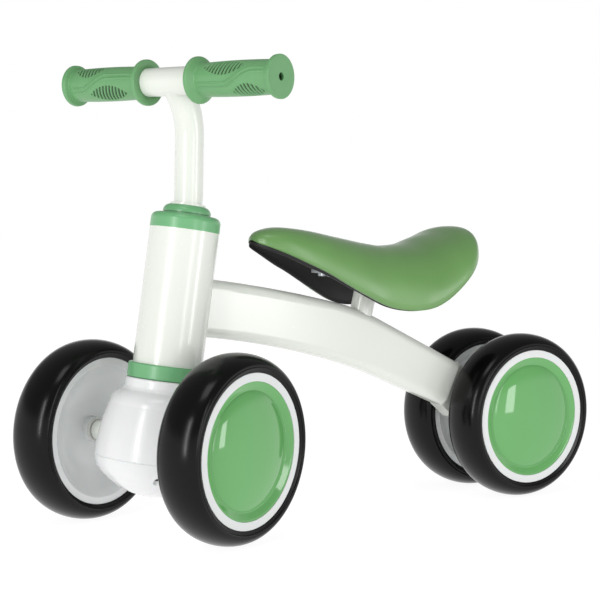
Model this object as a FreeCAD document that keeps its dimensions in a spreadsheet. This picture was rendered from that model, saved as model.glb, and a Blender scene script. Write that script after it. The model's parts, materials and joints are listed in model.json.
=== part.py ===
import FreeCAD, Part
import math
import os
import Sketcher

# Four-wheeled baby balance bike with a raked head tube, its steering turned 20 degrees to the left.
# Frame: +X forward, +Y to the rider's left, +Z up, millimetres. The origin is on the floor, in the
# beam's middle plane and half way between the two axles.

Vector = FreeCAD.Vector
Rotation = FreeCAD.Rotation
Placement = FreeCAD.Placement

doc = FreeCAD.newDocument("BalanceBike")

# ---------------------------------------------------------------- driving dimensions
SIZES = {
    # stance
    "wheelbase": 348.4, "axle_height": 72.5, "axle_trail": 1.2, "front_half_track": 74.4,
    "rear_half_track": 31.4, "rake_angle": 7.5, "steer_angle": 19.6,
    # wheel: radii, and distances outboard of the tyre's middle plane
    "tyre_side_radius": 62.5, "tyre_half_width": 19.1, "tyre_bore": 54.0,
    "tyre_crown_half": 10.5, "tyre_crown_rise": 70.6, "tyre_shoulder_curve": 17.0,
    "tyre_crown_curve": 30.0,
    "rim_radius": 58.8, "rim_outer_face": 17.6, "rim_inner_face": 16.7, "rim_flange": 3.0,
    "rim_band_inside": 50.5, "rim_seat_depth": 5.0, "cap_radius": 52.5,
    "bowl_depth": 15.5, "bowl_floor_radius": 22.0, "bowl_curve": 34.0, "rim_wall": 2.4,
    "boss_radius": 10.5, "boss_inner_face": 6.5, "boss_outer_face": 5.0,
    "cap_face": 17.1, "cap_valley": 14.6, "cap_valley_radius": 44.5, "cap_crown": 22.6,
    "cap_wall": 2.2, "cap_dome_curve": 127.0, "cap_skirt_radius": 50.5,
    "cap_skirt_wall": 1.8, "cap_skirt_end": 7.0, "skirt_drop": 1.5, "lip_width": 3.0,
    "back_set": 6.0,
    # wheel bearings and axles
    "axle_radius": 4.0, "bush_bore": 4.05, "bush_radius": 7.0, "bush_flange_radius": 9.5,
    "bush_flange_face": 8.0, "side_play": 0.3, "washer_radius": 8.0, "inner_washer": 0.8,
    "outer_washer": 1.6, "nut_flats": 13.0, "nut_height": 8.0, "axle_end": 16.4,
    # head tube and bearings, measured along the steering axis from the front axle
    "head_radius": 27.25, "head_wall": 2.0, "head_bottom": 57.8, "head_top": 163.7,
    "ring_radius": 30.4, "ring_bottom": 46.4, "ring_bore": 20.0, "bush_length": 14.2,
    "stem_bore": 11.3, "cap_top": 175.7, "cap_shoulder": 5.0, "cap_bore": 14.0,
    "edge_break": 0.8, "bearing_gap": 0.3,
    "collar_radius": 18.75, "collar_wall_height": 2.6, "collar_top": 182.7,
    "collar_top_radius": 14.4, "collar_curve": 6.0, "collar_groove": 17.4, "groove_height": 1.2,
    "stop_radius": 14.0, "stop_height": 1.6,
    # fork housing, measured the same way
    "shell_wall": 2.5, "parting": 15.8, "seam": 0.5, "bulb_radius": 47.6, "bulb_curve": 120.0,
    "shoulder_radius": 41.2, "shoulder_height": 25.0, "shoulder_curve": 15.0,
    "throat_radius": 34.2, "throat_height": 35.8, "throat_curve": 5.0, "neck_radius": 31.3,
    "neck_height": 39.5, "housing_top": 46.1, "housing_bore": 16.0,
    "bowl_turn_radius": 38.1, "bowl_turn_height": 31.3, "bowl_turn_curve": 22.0,
    "bowl_bottom": 45.3, "bowl_bottom_curve": 62.0,
    "sleeve_clearance": 0.4, "hole_overrun": 5.0,
    "boss_circle": 40.5, "boss_turn": 65.0, "post_outer": 4.5, "upper_post_end": 6.0,
    "lower_post_end": 25.0, "screw_seat": 20.5, "screw_pilot": 1.6, "screw_tip": 8.0,
    "housing_head_radius": 3.2, "housing_head_height": 2.4, "pocket_end": 60.0,
    # fork crown inside the housing
    "crown_radius": 15.0, "crown_bottom": 9.0, "crown_top": 40.0, "cross_tube_radius": 8.0,
    "stem_seat": 9.5, "stem_bolt_height": 27.0, "stem_bolt_radius": 3.0,
    "bolt_head_radius": 5.0, "bolt_head_height": 4.0, "stem_nut_radius": 5.6,
    "stem_nut_height": 5.0, "bolt_overrun": 2.0,
    # stem and handlebar
    "stem_radius": 11.25, "tube_wall": 1.6, "stem_kink": 188.0, "bar_height": 347.9,
    "bar_reach": 35.4, "bar_radius": 11.0, "bar_half": 98.6, "stem_lean": 9.6,
    "stem_final_lean": 61.0, "stem_kink_curve": 36.0, "stem_bend_curve": 55.0,
    # grips
    "grip_inner": 24.4, "grip_outer": 102.9, "grip_radius": 12.9, "grip_side_curve": 300.0,
    "grip_inner_flange": 17.75, "grip_outer_flange": 16.25, "flange_width": 8.0,
    "flange_edge": 1.5, "flange_curve": 4.0, "flange_face": 2.0,
    # beam, seat post
    "beam_half_width": 12.0, "beam_corner": 8.0, "beam_wall": 1.8,
    "beam_front": 150.0, "beam_top_front": 198.3, "beam_bottom_front": 152.0,
    "waist_at": 8.0, "waist_top": 174.5, "hip_at": 35.0, "hip_top": 159.7,
    "tail_top_at": 121.0, "tail_top": 119.6, "belly_at": 20.0, "belly_bottom": 128.6,
    "groin_at": 40.0, "groin_bottom": 108.4, "tail_bottom_at": 104.0, "tail_bottom": 82.2,
    "back_curve": 1179.0, "hip_curve": 217.0, "groin_curve": 465.0, "belly_curve": 806.0,
    "head_cut_margin": 20.0, "toe_rise": 7.0, "toe_set": 3.0, "heel_set": 24.0,
    "lug_set": 15.0,
    "bracket_half_width": 8.0, "bracket_lug": 70.0, "rear_tube_radius": 8.0,
    "post_radius": 9.75, "post_wall": 1.6, "post_lean": 13.5, "post_foot": 20.5,
    "post_foot_height": 172.0, "post_bury": 30.0, "post_rise": 12.0,
    "plate_bottom": 199.5, "plate_thickness": 3.0, "plate_front": 24.0, "plate_rear": 54.0,
    "plate_half_width": 13.0, "screw_radius": 2.5, "screw_head_radius": 4.6,
    "screw_head_height": 2.6, "screw_grip": 5.5, "screw_inset": 8.0, "screw_half_pitch": 7.0,
    "saddle_boss_half": 11.0, "shell_hang": 3.5,
}

sheet = doc.addObject("Spreadsheet::Sheet", "Sizes")
for row, (alias, number) in enumerate(SIZES.items(), start=1):
    sheet.set(f"A{row}", alias)
    sheet.set(f"B{row}", str(number))
    sheet.setAlias(f"B{row}", alias)
doc.recompute()

nodes = []


def value(words):
    """A sum of sheet names and numbers, such as "head_radius - head_wall", as a number."""
    total = 0.0
    sign = 1.0
    for word in words.split():
        if word in ("+", "-"):
            sign = 1.0 if word == "+" else -1.0
        else:
            total += sign * (SIZES[word] if word in SIZES else float(word))
            sign = 1.0
    return total


def formula(words):
    """The same sum as an expression on the sheet's cells."""
    return " ".join("Sizes." + word if word in SIZES else word for word in words.split())


def bind(item, **sizes):
    for name, words in sizes.items():
        item.setExpression(name, formula(words))


def keep(item, label, placement=None):
    item.Label = label
    if placement is not None:
        item.Placement = placement
    nodes.append(item)
    return item


# ---------------------------------------------------------------- sketches
def new_body(name):
    return doc.addObject("PartDesign::Body", name)


def new_sketch(body, name, role):
    sketch = body.newObject("Sketcher::SketchObject", name)
    plane = [item for item in body.Origin.OriginFeatures if item.Role == role][0]
    sketch.AttachmentSupport = (plane, [""])
    sketch.MapMode = "FlatFace"
    return sketch


def arc_middle(start, end, radius):
    """The middle of the arc from start to end; a positive radius bulges to the right of travel."""
    chord = end - start
    half = chord.Length / 2
    rise = abs(radius) - math.sqrt(radius ** 2 - half ** 2)
    right = Vector(chord.y, -chord.x, 0).normalize()
    return (start + end) / 2 + right * math.copysign(rise, radius)


def outline(sketch, corners):
    """Draws a closed run of lines and arcs through corners (x, y) or (x, y, curve).

    Each is bound to the sheet. A corner's curve is the radius of the arc that leaves it, and
    "0 - radius" bulges left of travel. A fourth item settles that radius another way: "next" or
    "last" makes the arc smooth with the piece after it or before it, and "axis" centres it on the
    axis of a turned part, so that the part is smooth at its pole.
    """
    points = [Vector(value(corner[0]), value(corner[1]), 0) for corner in corners]
    count = len(corners)
    ends = []
    for index, corner in enumerate(corners):
        start = points[index]
        end = points[(index + 1) % count]
        if len(corner) == 2:
            geometry = sketch.addGeometry(Part.LineSegment(start, end), False)
        else:
            middle = arc_middle(start, end, value(corner[2]))
            geometry = sketch.addGeometry(Part.Arc(start, middle, end), False)
        forward = (sketch.getPoint(geometry, 1) - start).Length < 1e-6
        ends.append((geometry, 1, 2) if forward else (geometry, 2, 1))
    for index, corner in enumerate(corners):
        geometry, first, last = ends[index]
        following = ends[(index + 1) % count]
        smooth = corner[3:] == ("next",) or corners[(index + 1) % count][3:] == ("last",)
        kind = "Tangent" if smooth else "Coincident"
        sketch.addConstraint(Sketcher.Constraint(
            kind, geometry, last, following[0], following[1]))
        tie_point(sketch, geometry, first, corner)
        if corner[3:] == ("axis",):
            sketch.addConstraint(Sketcher.Constraint("PointOnObject", geometry, 3, -2))
        if len(corner) == 3:
            size = abs(value(corner[2]))
            words = corner[2].removeprefix("0 - ")
            tie(sketch, Sketcher.Constraint("Radius", geometry, size), words)


def tie(sketch, constraint, words):
    number = sketch.addConstraint(constraint)
    sketch.setExpression(f"Constraints[{number}]", formula(words))


def tie_point(sketch, geometry, end, corner):
    for kind, words in (("DistanceX", corner[0]), ("DistanceY", corner[1])):
        tie(sketch, Sketcher.Constraint(kind, -1, 1, geometry, end, value(words)), words)


def turned(name, corners, placement=None):
    """A part turned about its own Z axis from an outline of radius and height."""
    body = new_body(name)
    sketch = new_sketch(body, name + "_profile", "XZ_Plane")
    outline(sketch, corners)
    doc.recompute()
    turn = body.newObject("PartDesign::Revolution", name + "_turn")
    turn.Profile = sketch
    turn.ReferenceAxis = (sketch, ["V_Axis"])
    turn.Angle = 360
    sketch.Visibility = False
    if placement is not None:
        body.Placement = placement
    return body


def side_plate(name, corners, half_width, corner_radius=None):
    """A plate with an outline in the XZ plane, the same thickness either side of it."""
    body = new_body(name)
    sketch = new_sketch(body, name + "_outline", "XZ_Plane")
    outline(sketch, corners)
    doc.recompute()
    pad = body.newObject("PartDesign::Pad", name + "_pad")
    pad.Profile = sketch
    bind(pad, Length=half_width + " + " + half_width)
    pad.SideType = "Symmetric"
    doc.recompute()
    if corner_radius:
        along = [f"Edge{number}" for number, edge in enumerate(pad.Shape.Edges, start=1)
                 if edge.BoundBox.YLength < 1e-6 and edge.Length > 60]
        fillet = body.newObject("PartDesign::Fillet", name + "_corners")
        fillet.Base = (pad, along)
        bind(fillet, Radius=corner_radius)
        doc.recompute()
    return body


def rod(name, radius, start, end, placement):
    """A cylinder along its placement's Z axis, from one height to the other."""
    item = doc.addObject("Part::Cylinder", name)
    bind(item, Radius=radius)
    item.setExpression("Height", f"{formula(end)} - ({formula(start)})")
    item.Placement = placement * Placement(Vector(0, 0, value(start)), Rotation())
    return item


def minus(name, base, *tools):
    result = base
    for number, tool in enumerate(tools):
        cut = doc.addObject("Part::Cut", name if number == len(tools) - 1 else f"{name}_{number}")
        cut.Base = result
        cut.Tool = tool
        result = cut
    return result


def plus(name, *items):
    fused = doc.addObject("Part::MultiFuse", name)
    fused.Shapes = list(items)
    return fused


# ---------------------------------------------------------------- places
rake = math.radians(SIZES["rake_angle"])
steer = Rotation(Vector(0, 0, 1), SIZES["steer_angle"])
steering_up = Vector(-math.sin(rake), 0, math.cos(rake))
steered_forward = steer.multVec(Vector(1, 0, 0))
steered_left = steer.multVec(Vector(0, 1, 0))
steering_foot = Vector(SIZES["wheelbase"] / 2 + SIZES["axle_trail"], 0, SIZES["axle_height"])
front_axle_at = steering_foot - steered_forward * SIZES["axle_trail"]
rear_axle_at = Vector(-SIZES["wheelbase"] / 2, 0, SIZES["axle_height"])
head = Placement(steering_foot, Rotation(Vector(0, 1, 0), -SIZES["rake_angle"]))


def along(direction, centre):
    """A placement whose Z axis points in the given direction."""
    return Placement(centre, Rotation(Vector(0, 0, 1), direction))


# ---------------------------------------------------------------- wheels
TYRE = [
    ("tyre_bore", "0 - rim_inner_face + rim_flange"),
    ("rim_radius", "0 - rim_inner_face + rim_flange"),
    ("rim_radius", "0 - rim_inner_face"),
    ("tyre_side_radius", "0 - tyre_half_width", "tyre_shoulder_curve"),
    ("tyre_crown_rise", "0 - tyre_crown_half", "tyre_crown_curve"),
    ("tyre_crown_rise", "tyre_crown_half", "tyre_shoulder_curve"),
    ("tyre_side_radius", "tyre_half_width"),
    ("rim_radius", "rim_outer_face"),
    ("rim_radius", "rim_outer_face - rim_flange"),
    ("tyre_bore", "rim_outer_face - rim_flange"),
]
RIM = [
    ("bush_radius", "0 - boss_inner_face"),
    ("boss_radius", "0 - boss_inner_face"),
    ("boss_radius", "0 - rim_inner_face + bowl_depth"),
    ("bowl_floor_radius", "0 - rim_inner_face + bowl_depth", "0 - bowl_curve"),
    ("rim_band_inside + lip_width - 1", "0 - rim_inner_face + 1"),
    ("rim_band_inside + lip_width", "0 - rim_inner_face"),
    ("rim_radius", "0 - rim_inner_face"),
    ("rim_radius", "0 - rim_inner_face + rim_flange"),
    ("tyre_bore", "0 - rim_inner_face + rim_flange"),
    ("tyre_bore", "rim_outer_face - rim_flange"),
    ("rim_radius", "rim_outer_face - rim_flange"),
    ("rim_radius", "rim_outer_face"),
    ("cap_radius", "rim_outer_face"),
    ("cap_radius", "rim_outer_face - rim_seat_depth"),
    ("rim_band_inside", "rim_outer_face - rim_seat_depth"),
    ("rim_band_inside", "0 - rim_inner_face + back_set", "bowl_curve"),
    ("bowl_floor_radius", "0 - rim_inner_face + bowl_depth + rim_wall"),
    ("boss_radius", "0 - rim_inner_face + bowl_depth + rim_wall"),
    ("boss_radius", "boss_outer_face"),
    ("bush_radius", "boss_outer_face"),
]
CAP = [
    ("0", "cap_crown - cap_wall", "0 - cap_dome_curve", "axis"),
    ("cap_valley_radius", "cap_valley - cap_wall"),
    ("cap_skirt_radius - cap_skirt_wall", "cap_face - cap_wall - skirt_drop"),
    ("cap_skirt_radius - cap_skirt_wall", "cap_skirt_end"),
    ("cap_skirt_radius", "cap_skirt_end"),
    ("cap_skirt_radius", "rim_outer_face - rim_seat_depth"),
    ("cap_radius", "rim_outer_face - rim_seat_depth"),
    ("cap_radius", "cap_face"),
    ("cap_valley_radius", "cap_valley", "cap_dome_curve", "axis"),
    ("0", "cap_crown"),
]
WHEEL_BUSH = [
    ("bush_bore", "0 - bush_flange_face"),
    ("bush_flange_radius", "0 - bush_flange_face"),
    ("bush_flange_radius", "0 - boss_inner_face"),
    ("bush_radius", "0 - boss_inner_face"),
    ("bush_radius", "boss_outer_face"),
    ("bush_bore", "boss_outer_face"),
]
WHEEL_PIECES = {"tyre": TYRE, "rim": RIM, "cap": CAP, "bush": WHEEL_BUSH}


def wheel(corner, outboard, centre):
    """Tyre, rim, snap-in cap and bearing bush of one wheel, with its cap side outboard."""
    for piece, corners in WHEEL_PIECES.items():
        name = f"{corner}_wheel_{piece}"
        keep(turned(name, corners, along(outboard, centre)), name)


def axle_set(end, left, centre, half_track):
    """An axle rod with washers and lock nuts, held in the tube between the wheels."""
    at = along(left, centre)
    reach = f"{half_track} + axle_end"
    axle = rod(end + "_axle", "axle_radius", "0 - " + reach.replace("+", "-"), reach, at)
    keep(axle, end + "_axle")
    washers = []
    nuts = []
    for side, turn in (("left", 0), ("right", 180)):
        at_side = at * Placement(Vector(), Rotation(Vector(1, 0, 0), turn))
        inner = f"{half_track} - bush_flange_face - side_play"
        outer = f"{half_track} + boss_outer_face + side_play"
        washers.append(ring(f"{end}_{side}_inner_washer", inner + " - inner_washer", inner, at_side))
        washers.append(ring(f"{end}_{side}_outer_washer", outer, outer + " + outer_washer", at_side))
        nuts.append(nut(f"{end}_{side}_nut", outer + " + outer_washer", at_side))
    keep(group(end + "_axle_washers", washers), end + "_axle_washers")
    keep(group(end + "_axle_nuts", nuts), end + "_axle_nuts")


def ring(name, start, end, placement):
    corners = [("axle_radius", start), ("washer_radius", start), ("washer_radius", end),
               ("axle_radius", end)]
    return turned(name, corners, placement)


def nut(name, start, placement):
    block = doc.addObject("Part::Prism", name + "_hexagon")
    block.Polygon = 6
    block.setExpression("Circumradius", "Sizes.nut_flats / 2 / cos(30)")
    bind(block, Height="nut_height")
    block.Placement = placement * Placement(Vector(0, 0, value(start)), Rotation())
    hole = rod(name + "_hole", "axle_radius", start, start + " + nut_height", placement)
    return minus(name, block, hole)


def group(name, items):
    compound = doc.addObject("Part::Compound", name)
    compound.Links = items
    return compound


for name, side in (("left", 1), ("right", -1)):
    offset = side * SIZES["front_half_track"]
    wheel("front_" + name, steered_left * side, front_axle_at + steered_left * offset)
    offset = side * SIZES["rear_half_track"]
    wheel("rear_" + name, Vector(0, side, 0), rear_axle_at + Vector(0, offset, 0))
axle_set("front", steered_left, front_axle_at, "front_half_track")
axle_set("rear", Vector(0, 1, 0), rear_axle_at, "rear_half_track")

# ---------------------------------------------------------------- head tube and its bearings
head_tube = turned("head_tube", [
    ("head_radius - head_wall", "head_bottom"),
    ("head_radius", "head_bottom"),
    ("head_radius", "head_top"),
    ("head_radius - head_wall", "head_top"),
], head)
keep(head_tube, "head_tube")
keep(turned("lower_head_ring", [
    ("ring_bore", "ring_bottom"),
    ("ring_radius - edge_break", "ring_bottom"),
    ("ring_radius", "ring_bottom + edge_break"),
    ("ring_radius", "head_bottom - edge_break"),
    ("ring_radius - edge_break", "head_bottom"),
    ("ring_bore", "head_bottom"),
], head), "lower_head_ring")
keep(turned("lower_head_bush", [
    ("stem_bore", "ring_bottom"),
    ("ring_bore", "ring_bottom"),
    ("ring_bore", "head_bottom"),
    ("head_radius - head_wall", "head_bottom"),
    ("head_radius - head_wall", "head_bottom + bush_length"),
    ("stem_bore", "head_bottom + bush_length"),
], head), "lower_head_bush")
keep(turned("upper_head_bush", [
    ("stem_bore", "head_top - bush_length"),
    ("head_radius - head_wall", "head_top - bush_length"),
    ("head_radius - head_wall", "head_top"),
    ("cap_bore", "head_top"),
    ("cap_bore", "cap_top"),
    ("stem_bore", "cap_top"),
], head), "upper_head_bush")
keep(turned("upper_head_cap", [
    ("cap_bore", "head_top"),
    ("head_radius", "head_top"),
    ("head_radius", "cap_top - cap_shoulder", "cap_shoulder"),
    ("head_radius - cap_shoulder", "cap_top"),
    ("cap_bore", "cap_top"),
], head), "upper_head_cap")
keep(turned("stem_collar", [
    ("stem_radius", "cap_top + bearing_gap"),
    ("collar_groove", "cap_top + bearing_gap"),
    ("collar_groove", "cap_top + groove_height"),
    ("collar_radius", "cap_top + groove_height"),
    ("collar_radius", "cap_top + collar_wall_height", "collar_curve"),
    ("collar_top_radius", "collar_top"),
    ("stem_radius", "collar_top"),
], head), "stem_collar")
keep(turned("stem_stop_ring", [
    ("stem_radius", "collar_top"),
    ("stop_radius", "collar_top"),
    ("stop_radius", "collar_top + stop_height"),
    ("stem_radius", "collar_top + stop_height"),
], head), "stem_stop_ring")

# ---------------------------------------------------------------- fork crown and its housing
cross = along(steered_left, front_axle_at)
cross_end = "front_half_track - bush_flange_face - side_play - inner_washer"
cross_start = "0 - front_half_track + bush_flange_face + side_play + inner_washer"
cross_tube = doc.addObject("Part::Cylinder", "cross_tube")
bind(cross_tube, Radius="cross_tube_radius")
cross_tube.setExpression("Height", "2 * (" + formula(cross_end) + ")")
cross_tube.Placement = cross * Placement(Vector(0, 0, value(cross_start)), Rotation())
cross_bore = doc.addObject("Part::Cylinder", "cross_bore")
bind(cross_bore, Radius="axle_radius")
cross_bore.setExpression("Height", "2 * (" + formula(cross_end) + ")")
cross_bore.Placement = cross_tube.Placement
crown_sleeve = rod("crown_sleeve", "crown_radius", "0 - crown_bottom", "crown_top", head)
stem_seat = rod("stem_seat", "stem_radius", "stem_seat", "crown_top", head)
bolt_across = head * Placement(Vector(0, 0, SIZES["stem_bolt_height"]),
                               Rotation(Vector(0, 0, 1), Vector(1, 0, 0)))
bolt_hole = rod("crown_bolt_hole", "stem_bolt_radius", "0 - crown_radius", "crown_radius",
                bolt_across)
keep(minus("fork_crown", plus("crown_weldment", crown_sleeve, cross_tube),
           cross_bore, stem_seat, bolt_hole), "fork_crown")

HOUSING_UPPER = [
    ("bulb_radius - shell_wall", "0 - parting"),
    ("bulb_radius - seam", "0 - parting"),
    ("bulb_radius", "0 - parting + seam", "bulb_curve"),
    ("shoulder_radius", "shoulder_height", "shoulder_curve"),
    ("throat_radius", "throat_height", "0 - throat_curve"),
    ("neck_radius", "neck_height"),
    ("neck_radius", "housing_top - edge_break"),
    ("neck_radius - edge_break", "housing_top"),
    ("housing_bore", "housing_top"),
    ("housing_bore", "housing_top - shell_wall"),
    ("neck_radius - shell_wall", "housing_top - shell_wall"),
    ("neck_radius - shell_wall", "neck_height - edge_break"),
    ("throat_radius - shell_wall - edge_break", "throat_height - edge_break"),
    ("shoulder_radius - shell_wall", "shoulder_height - edge_break", "0 - bulb_curve"),
]
HOUSING_LOWER = [
    ("0", "0 - bowl_bottom + shell_wall"),
    ("0", "0 - bowl_bottom", "bowl_bottom_curve", "axis"),
    ("bowl_turn_radius", "0 - bowl_turn_height", "bowl_turn_curve"),
    ("bulb_radius", "0 - parting - seam"),
    ("bulb_radius - seam", "0 - parting"),
    ("bulb_radius - shell_wall", "0 - parting", "0 - bowl_turn_curve"),
    ("bowl_turn_radius - shell_wall + edge_break", "0 - bowl_turn_height + shell_wall",
     "0 - bowl_bottom_curve", "axis"),
]
sleeve_holes = rod("housing_side_holes", "cross_tube_radius + sleeve_clearance",
                   "0 - bulb_radius - hole_overrun", "bulb_radius + hole_overrun", cross)
upper_shell = turned("housing_upper_shell", HOUSING_UPPER, head)
lower_shell = turned("housing_lower_shell", HOUSING_LOWER, head)



# Four screws from below hold the bowl to the bosses of the upper shell.
def boss_at(number):
    turn = Rotation(Vector(0, 0, 1), SIZES["boss_turn"] + 90 * number)
    return head * Placement(Vector(), turn) * Placement(Vector(SIZES["boss_circle"], 0, 0), Rotation())


def each_boss(name, radius, bottom, top):
    """The same upright cylinder at each of the four bosses."""
    return [rod(f"{name}_{number}", radius, bottom, top, boss_at(number)) for number in range(4)]


upper_posts = each_boss("upper_post", "post_outer", "0 - parting", "0 - upper_post_end")
lower_posts = each_boss("lower_post", "post_outer", "0 - lower_post_end", "0 - parting")
holes = plus("housing_screw_holes",
             *each_boss("screw_hole", "screw_pilot", "0 - screw_seat", "0 - screw_tip"))
pockets = plus("housing_screw_pockets",
               *each_boss("screw_pocket", "housing_head_radius", "0 - pocket_end", "0 - screw_seat"))
screw_shanks = each_boss("screw_shank", "screw_pilot", "0 - screw_seat", "0 - screw_tip")
screw_heads = each_boss("screw_head", "housing_head_radius", "0 - screw_seat - housing_head_height",
                        "0 - screw_seat")
screws = [plus(f"housing_screw_{number}", shank, top)
          for number, (shank, top) in enumerate(zip(screw_shanks, screw_heads))]
keep(minus("fork_housing_upper", plus("housing_upper_blank", upper_shell, *upper_posts),
           sleeve_holes, holes), "fork_housing_upper")
keep(minus("fork_housing_lower", plus("housing_lower_blank", lower_shell, *lower_posts),
           holes, pockets), "fork_housing_lower")
keep(group("housing_screws", screws), "housing_screws")

# ---------------------------------------------------------------- stem and handlebar
# The stem's middle line lies in the plane of the steering axis and the steered forward direction.
across_axis = steered_forward - steering_up * steered_forward.dot(steering_up)
stem_plane = Rotation(across_axis.normalize(), Vector(), steering_up, "ZXY")
bar_centre = (steering_foot + steered_forward * SIZES["bar_reach"]
              + steering_up * ((SIZES["bar_height"] - SIZES["axle_height"]) / math.cos(rake)))
to_bar = bar_centre - steering_foot
bar_across = to_bar.dot(across_axis.normalize())
bar_along = to_bar.dot(steering_up)


def bend(before, corner, after, radius):
    """The two tangent points and the arc middle of a tube bend at a corner."""
    back = (before - corner).normalize()
    on = (after - corner).normalize()
    half = back.getAngle(on) / 2
    reach = radius / math.tan(half)
    middle = (back + on).normalize()
    return (corner + back * reach, corner + on * reach,
            corner + middle * (radius / math.sin(half) - radius))


def stem_path():
    """Straight up the steering axis, a slight bend, then the forward sweep into the handlebar."""
    first = math.radians(SIZES["stem_lean"])
    last = math.radians(SIZES["stem_final_lean"])
    start = Vector(0, 0, SIZES["stem_seat"])
    kink = Vector(0, 0, SIZES["stem_kink"])
    end = Vector(bar_across, 0, bar_along)
    rise = (bar_across - (bar_along - kink.z) * math.tan(last)) / (math.tan(first) - math.tan(last))
    corner = kink + Vector(rise * math.tan(first), 0, rise)
    low = bend(start, kink, corner, SIZES["stem_kink_curve"])
    high = bend(kink, corner, end, SIZES["stem_bend_curve"])
    edges = [Part.LineSegment(start, low[0]), Part.Arc(low[0], low[2], low[1]),
             Part.LineSegment(low[1], high[0]), Part.Arc(high[0], high[2], high[1])]
    return Part.Wire([edge.toShape() for edge in edges])


def tube_along(path, radius):
    ring_wire = Part.Wire([Part.Circle(path.Vertexes[0].Point, Vector(0, 0, 1), radius).toShape()])
    return path.makePipeShell([ring_wire], True, False)


stem_outside = tube_along(stem_path(), SIZES["stem_radius"])
stem_inside = tube_along(stem_path(), SIZES["stem_radius"] - SIZES["tube_wall"])
bar_at = along(steered_left, bar_centre)
stem_at = Placement(steering_foot, stem_plane)
bar_space = Part.makeCylinder(SIZES["bar_radius"], 2 * SIZES["bar_half"],
                              Vector(0, 0, -SIZES["bar_half"]))
bar_space.Placement = stem_at.inverse() * bar_at
bolt_space = Part.makeCylinder(SIZES["stem_bolt_radius"], 4 * SIZES["crown_radius"],
                               Vector(0, 0, -2 * SIZES["crown_radius"]))
bolt_space.Placement = stem_at.inverse() * bolt_across
stem = doc.addObject("Part::Feature", "stem_tube")
stem.Shape = stem_outside.cut(stem_inside).cut(bar_space).cut(bolt_space).Solids[0]
keep(stem, "stem_tube", stem_at)

bar_outside = rod("bar_outside", "bar_radius", "0 - bar_half", "bar_half", bar_at)
bar_inside = rod("bar_inside", "bar_radius - tube_wall", "0 - bar_half", "bar_half", bar_at)
keep(minus("handlebar_tube", bar_outside, bar_inside), "handlebar_tube")

bolt_shank = rod("bolt_shank", "stem_bolt_radius",
                 "0 - crown_radius - stem_nut_height - bolt_overrun", "crown_radius", bolt_across)
bolt_head = rod("bolt_head", "bolt_head_radius", "crown_radius",
                "crown_radius + bolt_head_height", bolt_across)
keep(plus("stem_bolt", bolt_shank, bolt_head), "stem_bolt")
stem_nut_blank = rod("stem_nut_blank", "stem_nut_radius", "0 - crown_radius - stem_nut_height",
                     "0 - crown_radius", bolt_across)
stem_nut_hole = rod("stem_nut_hole", "stem_bolt_radius", "0 - crown_radius - stem_nut_height",
                    "0 - crown_radius", bolt_across)
keep(minus("stem_nut", stem_nut_blank, stem_nut_hole), "stem_nut")

GRIP = [
    ("bar_radius", "grip_inner"),
    ("grip_inner_flange - flange_edge", "grip_inner", "flange_curve"),
    ("grip_inner_flange", "grip_inner + flange_face"),
    ("grip_radius", "grip_inner + flange_width", "grip_side_curve"),
    ("grip_radius", "grip_outer - flange_width"),
    ("grip_outer_flange", "grip_outer - flange_face", "flange_curve"),
    ("grip_outer_flange - flange_edge", "grip_outer"),
    ("0", "grip_outer"),
    ("0", "bar_half"),
    ("bar_radius", "bar_half"),
]
for name, side in (("grip_left", 1), ("grip_right", -1)):
    keep(turned(name, GRIP, along(steered_left * side, bar_centre)), name)

# ---------------------------------------------------------------- beam


def beam_outline(wall):
    """The beam seen from the side, drawn inside its skin by the given wall."""
    inset = f" - {wall}"
    offset = f" + {wall}"
    return [
        ("beam_front", "beam_bottom_front" + offset),
        ("beam_front", "beam_top_front" + inset, "back_curve", "next"),
        ("waist_at", "waist_top" + inset, "hip_curve", "next"),
        ("0 - hip_at", "hip_top" + inset),
        ("0 - tail_top_at" + offset, "tail_top" + inset),
        ("0 - tail_bottom_at" + offset, "tail_bottom" + offset),
        ("0 - groin_at", "groin_bottom" + offset, "0 - groin_curve", "last"),
        ("belly_at", "belly_bottom" + offset, "0 - belly_curve", "last"),
    ]


beam_skin = side_plate("beam_skin", beam_outline("0"), "beam_half_width", "beam_corner")
beam_hollow = side_plate("beam_hollow", beam_outline("beam_wall"),
                         "beam_half_width - beam_wall", "beam_corner - beam_wall")
head_space = rod("head_space", "head_radius", "head_bottom - head_cut_margin",
                 "head_top + head_cut_margin", head)
keep(minus("frame_beam", beam_skin, beam_hollow, head_space), "frame_beam")

rear_at = along(Vector(0, 1, 0), rear_axle_at)
rear_end = "rear_half_track - bush_flange_face - side_play - inner_washer"
rear_start = "0 - rear_half_track + bush_flange_face + side_play + inner_washer"
rear_tube = doc.addObject("Part::Cylinder", "rear_tube")
bind(rear_tube, Radius="rear_tube_radius")
rear_tube.setExpression("Height", "2 * (" + formula(rear_end) + ")")
rear_tube.Placement = rear_at * Placement(Vector(0, 0, value(rear_start)), Rotation())
rear_bore = doc.addObject("Part::Cylinder", "rear_bore")
bind(rear_bore, Radius="axle_radius")
rear_bore.setExpression("Height", "2 * (" + formula(rear_end) + ")")
rear_bore.Placement = rear_tube.Placement
REAR_X = str(-SIZES["wheelbase"] / 2)
bracket_plate = side_plate("bracket_plate", [
    ("0 - tail_top_at", "tail_top"),
    (REAR_X + " - toe_set", "axle_height + toe_rise"),
    (REAR_X + " - toe_set", "axle_height - toe_rise"),
    ("0 - tail_bottom_at - heel_set", "bracket_lug"),
    ("0 - tail_bottom_at - lug_set", "bracket_lug"),
    ("0 - tail_bottom_at", "tail_bottom"),
], "bracket_half_width")
keep(minus("rear_axle_bracket", plus("bracket_weldment", bracket_plate, rear_tube), rear_bore),
     "rear_axle_bracket")

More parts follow.
